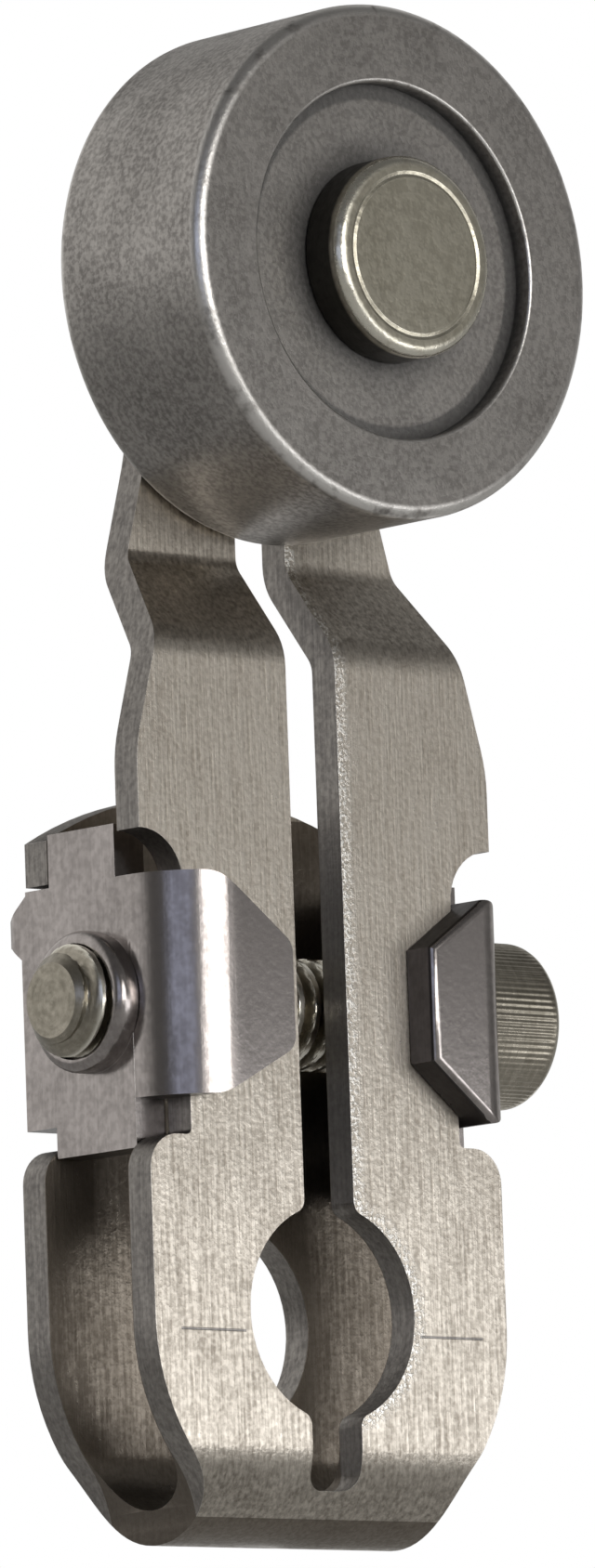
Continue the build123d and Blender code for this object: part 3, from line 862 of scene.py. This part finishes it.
@dataclass
class Screw:
    """The clamp screw: knurled socket head and a rolled thread.

    Attributes:
        head_height: Height of the head.
        shank_radius: Radius over the thread's crests.
        thread_depth: Depth of the thread.
        pitch: Thread pitch.
        tail_bevel: Length of the bevel at the tail.
        socket_flats: Width of the hexagon socket.
        socket_depth: Depth of the socket.
        knurls: Ridges round the head.
        knurl_depth: Depth of the ridges.
        knurl_start: Distance from the seat's bevel to the first full ridge.
        knurl_end: Distance from the last full ridge to the head's rounding.
        head_round: Rounding of the head's outer edge.
        seat_bevel: Bevel round the head's underside.
        socket_bevel: Bevel of the socket's mouth.
        socket_cone: Depth of the cone at its bottom.
    """

    head_height: float = 4.3
    shank_radius: float = 2.085
    thread_depth: float = 0.52
    pitch: float = 0.794
    tail_bevel: float = 0.75
    socket_flats: float = 3.57
    socket_depth: float = 2.0
    knurls: int = 84
    knurl_depth: float = 0.045
    knurl_start: float = 0.15
    knurl_end: float = 0.25
    head_round: float = 0.3
    seat_bevel: float = 0.12
    socket_bevel: float = 0.12
    socket_cone: float = 0.5

    def make(self, finish: Metal, effects: Effects) -> bpy.types.Object:
        """Build the head and the thread, join them and dress the screw."""
        low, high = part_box("clamp_screw")
        axis = Vector((0, (low.y + high.y) / 2, (low.z + high.z) / 2)) / MM
        seat = high.x / MM - self.head_height
        head = self._head(axis, seat, high.x / MM, (high.z - low.z) / 2 / MM)
        thread = self._thread(axis, low.x / MM, seat + 0.1)
        with bpy.context.temp_override(active_object=head, selected_editable_objects=[head, thread]):
            bpy.ops.object.join()
        head.name = "clamp_screw_threaded"
        head.data.set_sharp_from_angle(angle=math.radians(32))
        return place(head, "clamp_screw", Body.SCREW, finish.slot, finish.material(effects))

    def _head(self, axis: Vector, seat: float, face: float, radius: float) -> bpy.types.Object:
        """Loft the knurled head with its hexagon socket.

        Args:
            axis: A point of the screw's axis.
            seat: Place of the head's underside along X.
            face: Place of its outer face.
            radius: Radius of the head.

        Returns:
            The head as a closed mesh.
        """
        around = self.knurls * 6
        hexagon = self.socket_flats / 2
        bottom, bevel_end = face - self.socket_depth, seat + self.seat_bevel
        rings = [(seat, self.shank_radius * 0.9, 0, 0), (seat, radius - self.seat_bevel, 0, 0),
                 (bevel_end, radius, 0, 1), (bevel_end + self.knurl_start, radius, 1, 0),
                 (face - self.head_round - self.knurl_end, radius, 1, 0)]
        steps = 6
        for step in range(steps + 1):
            turn = math.pi / 2 * step / steps
            rings.append((face - self.head_round * (1 - math.sin(turn)),
                          radius - self.head_round * (1 - math.cos(turn)), 0, math.sin(2 * turn)))
        rings += [(face, hexagon * 1.28, 0, 0.5), (face - self.socket_bevel, -hexagon, 0, 0.5),
                  (bottom, -hexagon, 0, 0)]
        shape = bmesh.new()
        edge = shape.verts.layers.float.new("edge")
        loops = []
        for x, r, ridged, share in rings:
            loop = []
            for step in range(around):
                angle = 2 * math.pi * step / around
                reach = self._reach(r, ridged, angle)
                spot = axis + Vector((x, math.cos(angle) * reach, math.sin(angle) * reach))
                vertex = shape.verts.new(spot * MM)
                vertex[edge] = share
                loop.append(vertex)
            loops.append(loop)
        loops.insert(0, [shape.verts.new((axis + Vector((seat, 0, 0))) * MM)])
        loops.append([shape.verts.new((axis + Vector((bottom - self.socket_cone, 0, 0))) * MM)])
        for first, second in zip(loops, loops[1:]):
            bridge(shape, first, second)
        return from_bmesh(shape, "screw_head")

    def _reach(self, radius: float, ridged: int, angle: float) -> float:
        """Distance from the axis at an angle: round, ridged, or hexagonal where the radius is negative."""
        if radius < 0:
            sector = (angle + math.pi / 6) % (math.pi / 3) - math.pi / 6
            return -radius / math.cos(sector)
        ridge = 0.5 - 0.5 * math.cos(angle * self.knurls)
        return radius - ridged * self.knurl_depth * ridge

    def _thread(self, axis: Vector, tail: float, end: float) -> bpy.types.Object:
        """Roll the thread with Geometry Nodes.

        Args:
            axis: A point of the screw's axis.
            tail: Place of the tail end along X.
            end: Place of the other end, inside the head.

        Returns:
            The threaded shank as a plain mesh.
        """
        tree = thread_tree()
        blank = bpy.data.objects.new("thread_blank", bpy.data.meshes.new("thread_blank"))
        bpy.context.scene.collection.objects.link(blank)
        nodes = blank.modifiers.new("thread", "NODES")
        nodes.node_group = tree
        sizes = {"Tail": tail * MM, "Length": (end - tail) * MM, "Axis Height": axis.z * MM,
                 "Crest Radius": self.shank_radius * MM, "Depth": self.thread_depth * MM,
                 "Pitch": self.pitch * MM, "Tail Bevel": self.tail_bevel * MM}
        for item in tree.interface.items_tree:
            if item.item_type == "SOCKET" and item.name in sizes:
                nodes[item.identifier] = sizes[item.name]
        return plain_mesh(blank, "screw_thread")


def thread_tree() -> bpy.types.NodeTree:
    """Geometry Nodes for a rolled thread about an axis parallel to X.

    Returns:
        A tree that bends a grid round the axis and sets its radius by the thread's phase.
    """
    tree = bpy.data.node_groups.new("rolled_thread", "GeometryNodeTree")
    for name in ("Tail", "Length", "Axis Height", "Crest Radius", "Depth", "Pitch", "Tail Bevel"):
        tree.interface.new_socket(name, in_out="INPUT", socket_type="NodeSocketFloat")
    tree.interface.new_socket("Geometry", in_out="OUTPUT", socket_type="NodeSocketGeometry")
    w = Wiring(tree)
    given = w.add("NodeGroupInput").outputs
    rows, around = 460, 73
    grid = w.add("GeometryNodeMeshGrid")
    for socket, value in zip(grid.inputs, (given["Length"], 1.0, rows, around)):
        w.feed(socket, value)
    u, v, _ = w.xyz(w.add("GeometryNodeInputPosition").outputs[0])
    depth_in = w.plus(u, w.times(given["Length"], 0.5))
    angle = w.times(v, 2 * math.pi)
    phase = w.math("FRACT", w.plus(w.math("DIVIDE", depth_in, given["Pitch"]), v))
    wave = w.math("ABSOLUTE", w.math("SUBTRACT", w.times(phase, 2.0), 1.0))
    flank = w.span(wave, 0.3, 0.8)
    groove = w.math("SUBTRACT", given["Crest Radius"], w.times(flank, given["Depth"]))
    bevel = w.plus(w.math("SUBTRACT", given["Crest Radius"], given["Tail Bevel"]), depth_in)
    radius = w.math("MINIMUM", groove, bevel)
    step = w.math("DIVIDE", given["Length"], rows - 1.0)
    half_step = w.times(step, 0.5)
    between_ends = w.times(w.math("GREATER_THAN", depth_in, half_step),
                           w.math("LESS_THAN", depth_in, w.math("SUBTRACT", given["Length"], half_step)))
    radius = w.times(radius, between_ends)
    spot = w.point(w.plus(depth_in, given["Tail"]), w.times(w.math("COSINE", angle), radius),
                   w.plus(w.times(w.math("SINE", angle), radius), given["Axis Height"]))
    near_crest = w.span(w.math("SUBTRACT", radius, given["Crest Radius"]), -0.12 * MM, -0.02 * MM)
    thread = w.onto(grid.outputs["Mesh"], "GeometryNodeStoreNamedAttribute", Name="edge", Value=near_crest)
    thread = w.onto(thread, "GeometryNodeSetPosition", Position=spot)
    thread = w.onto(thread, "GeometryNodeMergeByDistance", Distance=WELD * MM)
    thread = w.onto(thread, "GeometryNodeSetShadeSmooth")
    thread = w.onto(thread, "GeometryNodeRealizeInstances")
    w.feed(w.add("NodeGroupOutput").inputs[0], w.onto(thread, "GeometryNodeSetMaterial"))
    return tree


@dataclass
class Clips:
    """The threaded clip on one edge of the strap and the saddle clip under the screw head.

    Attributes:
        nut: The threaded clip.
        saddle: The saddle clip.
        nut_web: Distance from the middle to just inside the threaded clip's web.
        saddle_web: The same for the saddle clip.
    """

    nut_web: ClassVar[float] = 8.0
    saddle_web: ClassVar[float] = 7.8
    nut: SheetPiece = field(
        default_factory=lambda: SheetPiece("nut_clip", Body.LEVER, Clips.nut_sheared, 0.12))
    saddle: SheetPiece = field(
        default_factory=lambda: SheetPiece("saddle_clip", Body.SADDLE, Clips.saddle_sheared, 0.18))

    @staticmethod
    def nut_sheared(normal: Vector, middle: Vector) -> bool:
        """Faces of the ear and the tab that look up or down; their near-black colour is partly a painted
        shadow.
        """
        return abs(normal.z) > 0.3 and middle.x > -Clips.nut_web

    @staticmethod
    def saddle_sheared(normal: Vector, middle: Vector) -> bool:
        """Faces of the ears that look along the wall; their near-black colour is partly painted shade."""
        return abs(normal.y) < 0.5 and middle.x < Clips.saddle_web

    def make(self, finish: Metal, effects: Effects) -> list[bpy.types.Object]:
        """Build and dress both clips."""
        material = finish.material(effects)
        return [place(self.nut.build("threaded_clip"), "nut_clip", Body.LEVER, finish.slot, material),
                place(self.saddle.build("saddle"), "saddle_clip", Body.SADDLE, finish.slot, material)]


@dataclass(frozen=True)
class Panel:
    """A soft patch of light in the studio, seen in the metal.

    Attributes:
        towards: Direction from the lever.
        inner: Cosine of the angle where the patch has its full strength.
        outer: Cosine of the angle where it ends.
        strength: Light that it adds.
        tint: Its colour.
    """

    towards: tuple[float, float, float]
    inner: float
    outer: float
    strength: float
    tint: Colour = (1.0, 0.985, 0.96)


@dataclass(frozen=True)
class Softbox:
    """A rectangular softbox that the camera doesn't see, in millimetres and watts."""

    name: str
    spot: tuple[float, float, float]
    target: tuple[float, float, float]
    size: tuple[float, float]
    power: float

    def hang(self) -> None:
        """Hang the softbox so that it faces its target."""
        data = bpy.data.lights.new(self.name, "AREA")
        data.shape = "RECTANGLE"
        data.size, data.size_y = (side * MM for side in self.size)
        data.energy = self.power
        lamp = bpy.data.objects.new(self.name, data)
        lamp.location = Vector(self.spot) * MM
        lamp.visible_camera = False
        lamp.rotation_mode = "QUATERNION"
        lamp.rotation_quaternion = (Vector(self.target) - Vector(self.spot)).to_track_quat("-Z", "Y")
        bpy.context.scene.collection.objects.link(lamp)


@dataclass
class Studio:
    """Camera, floor and soft light.

    Attributes:
        azimuth: Camera azimuth in degrees, 0 looking along +Y.
        elevation: Camera elevation in degrees.
        roll: Camera roll in degrees.
        distance: From the aim point to the camera.
        aim: Aim point, measured from the middle of the lever's box.
        lens: Focal length.
        sensor: Width of the sensor.
        floor_drop: How far the floor lies below the lever.
        tint: Colour of the light from everywhere.
        ambient: Its strength.
        panels: Soft patches of light.
        softboxes: Lamps close to the lever.
    """

    azimuth: float = -41.3
    elevation: float = -7.33
    roll: float = -2.03
    distance: float = 455.1
    aim: tuple[float, float, float] = (0.23, 1.52, 0.19)
    lens: float = 283.3
    sensor: float = 36.0
    floor_drop: float = 14.0
    tint: Colour = (1.0, 0.985, 0.96)
    ambient: float = 0.11
    panels: tuple[Panel, ...] = (
        Panel((-0.5, 0.8, 0.3), 0.93, 0.55, 0.6),
        Panel((-0.8, -0.6, 0.1), 0.985, 0.9, 0.42, (0.82, 0.92, 1.25)),
        Panel((-0.08, -1.0, 0.05), 0.98, 0.91, 4.4),
        Panel((0.66, -0.74, 0.15), 0.97, 0.75, 0.1),
        Panel((0.7, 0.6, 0.2), 0.94, 0.5, 0.35))
    softboxes: tuple[Softbox, ...] = (
        Softbox("low_softbox", (60, -114, 0), (0, 0, 0), (90, 34), 0.019),
        Softbox("fold_kicker", (42, 34, -14), (0, 0, -6), (50, 12), 0.0018))

    def build(self) -> None:
        """Make the camera, the floor and the light."""
        low, high = CAD_BOX
        self._camera((low + high) / 2 / MM + Vector(self.aim))
        self._floor(low.z - self.floor_drop * MM)
        self._world()
        for softbox in self.softboxes:
            softbox.hang()
        view = bpy.context.scene.view_settings
        view.view_transform = "Standard"
        view.look = "None"

    def _camera(self, aim: Vector) -> None:
        """Stand the camera at its viewing angle."""
        a, e, roll = (math.radians(x) for x in (self.azimuth, self.elevation, self.roll))
        back = Vector((math.sin(a) * math.cos(e), -math.cos(a) * math.cos(e), math.sin(e)))
        right = Vector((math.cos(a), math.sin(a), 0))
        up = back.cross(right)
        side = right * math.cos(roll) + up * math.sin(roll)
        top = up * math.cos(roll) - right * math.sin(roll)
        data = bpy.data.cameras.new("camera")
        data.lens, data.sensor_width = self.lens, self.sensor
        data.clip_start, data.clip_end = 0.01, 10.0
        camera = bpy.data.objects.new("camera", data)
        turn = Matrix((side, top, back)).transposed().to_4x4()
        camera.matrix_world = Matrix.Translation((aim + back * self.distance) * MM) @ turn
        bpy.context.scene.collection.objects.link(camera)
        bpy.context.scene.camera = camera

    @staticmethod
    def _floor(height: float) -> None:
        """Lay a pale floor under the lever that lets a low camera look up through it."""
        shape = bmesh.new()
        bmesh.ops.create_circle(shape, cap_ends=True, segments=96, radius=1.2)
        bmesh.ops.translate(shape, verts=shape.verts, vec=(0, 0, height))
        mesh = bpy.data.meshes.new("floor")
        shape.to_mesh(mesh)
        shape.free()
        floor = bpy.data.objects.new("floor", mesh)
        bpy.context.scene.collection.objects.link(floor)
        material = bpy.data.materials.new("pale_floor")
        material.use_nodes = True
        material.node_tree.nodes.clear()
        w = Wiring(material.node_tree)
        paint = w.glow("ShaderNodeBsdfDiffuse", (0.86, 0.86, 0.85, 1.0))
        pale = w.glow("ShaderNodeEmission", (0.93, 0.93, 0.92, 1.0))
        to_camera = w.add("ShaderNodeLightPath").outputs["Is Camera Ray"]
        seen = w.blend(w.times(to_camera, 0.85), paint, pale)
        from_below = w.add("ShaderNodeNewGeometry").outputs["Backfacing"]
        shader = w.blend(from_below, seen, w.add("ShaderNodeBsdfTransparent"))
        w.feed(w.add("ShaderNodeOutputMaterial").inputs["Surface"], shader.outputs[0])
        mesh.materials.append(material)

    def _world(self) -> None:
        """Light the lever from all round, with soft panels, against a white backdrop."""
        world = bpy.data.worlds.new("studio")
        world.use_nodes = True
        world.node_tree.nodes.clear()
        bpy.context.scene.world = world
        w = Wiring(world.node_tree)
        towards = w.vector("NORMALIZE", w.add("ShaderNodeTexCoord").outputs["Generated"])
        light = tuple(Vector(self.tint) * self.ambient)
        for panel in self.panels:
            facing = w.vector("DOT_PRODUCT", towards, tuple(Vector(panel.towards).normalized()))
            patch = w.span(facing, panel.outer, panel.inner, 0.0, panel.strength)
            colour = w.vector("MULTIPLY", panel.tint, w.point(patch, patch, patch))
            light = w.vector("ADD", light, colour)
        shader = w.blend(w.add("ShaderNodeLightPath").outputs["Is Camera Ray"],
                         w.glow("ShaderNodeBackground", light),
                         w.glow("ShaderNodeBackground", (1.0, 1.0, 1.0, 1.0)))
        w.feed(w.add("ShaderNodeOutputWorld").inputs["Surface"], shader.outputs[0])


def main() -> None:
    """Build the studio, then every piece of the lever."""
    logging.basicConfig(level=logging.INFO, format="%(name)s: %(message)s")
    Studio().build()
    effects = Effects()
    finishes = Finishes()
    Strap().make(finishes.strap, effects)
    group = RollerGroup()
    group.make_roller(finishes.roller, effects)
    group.make_pin(finishes.pin, effects)
    Clips().make(finishes.clip, effects)
    Screw().make(finishes.screw, effects)
    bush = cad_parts["roller_bush"]
    bush.data.materials.clear()
    bush.data.materials.append(finishes.bush.material(effects))


if __name__ == "__main__":
    main()
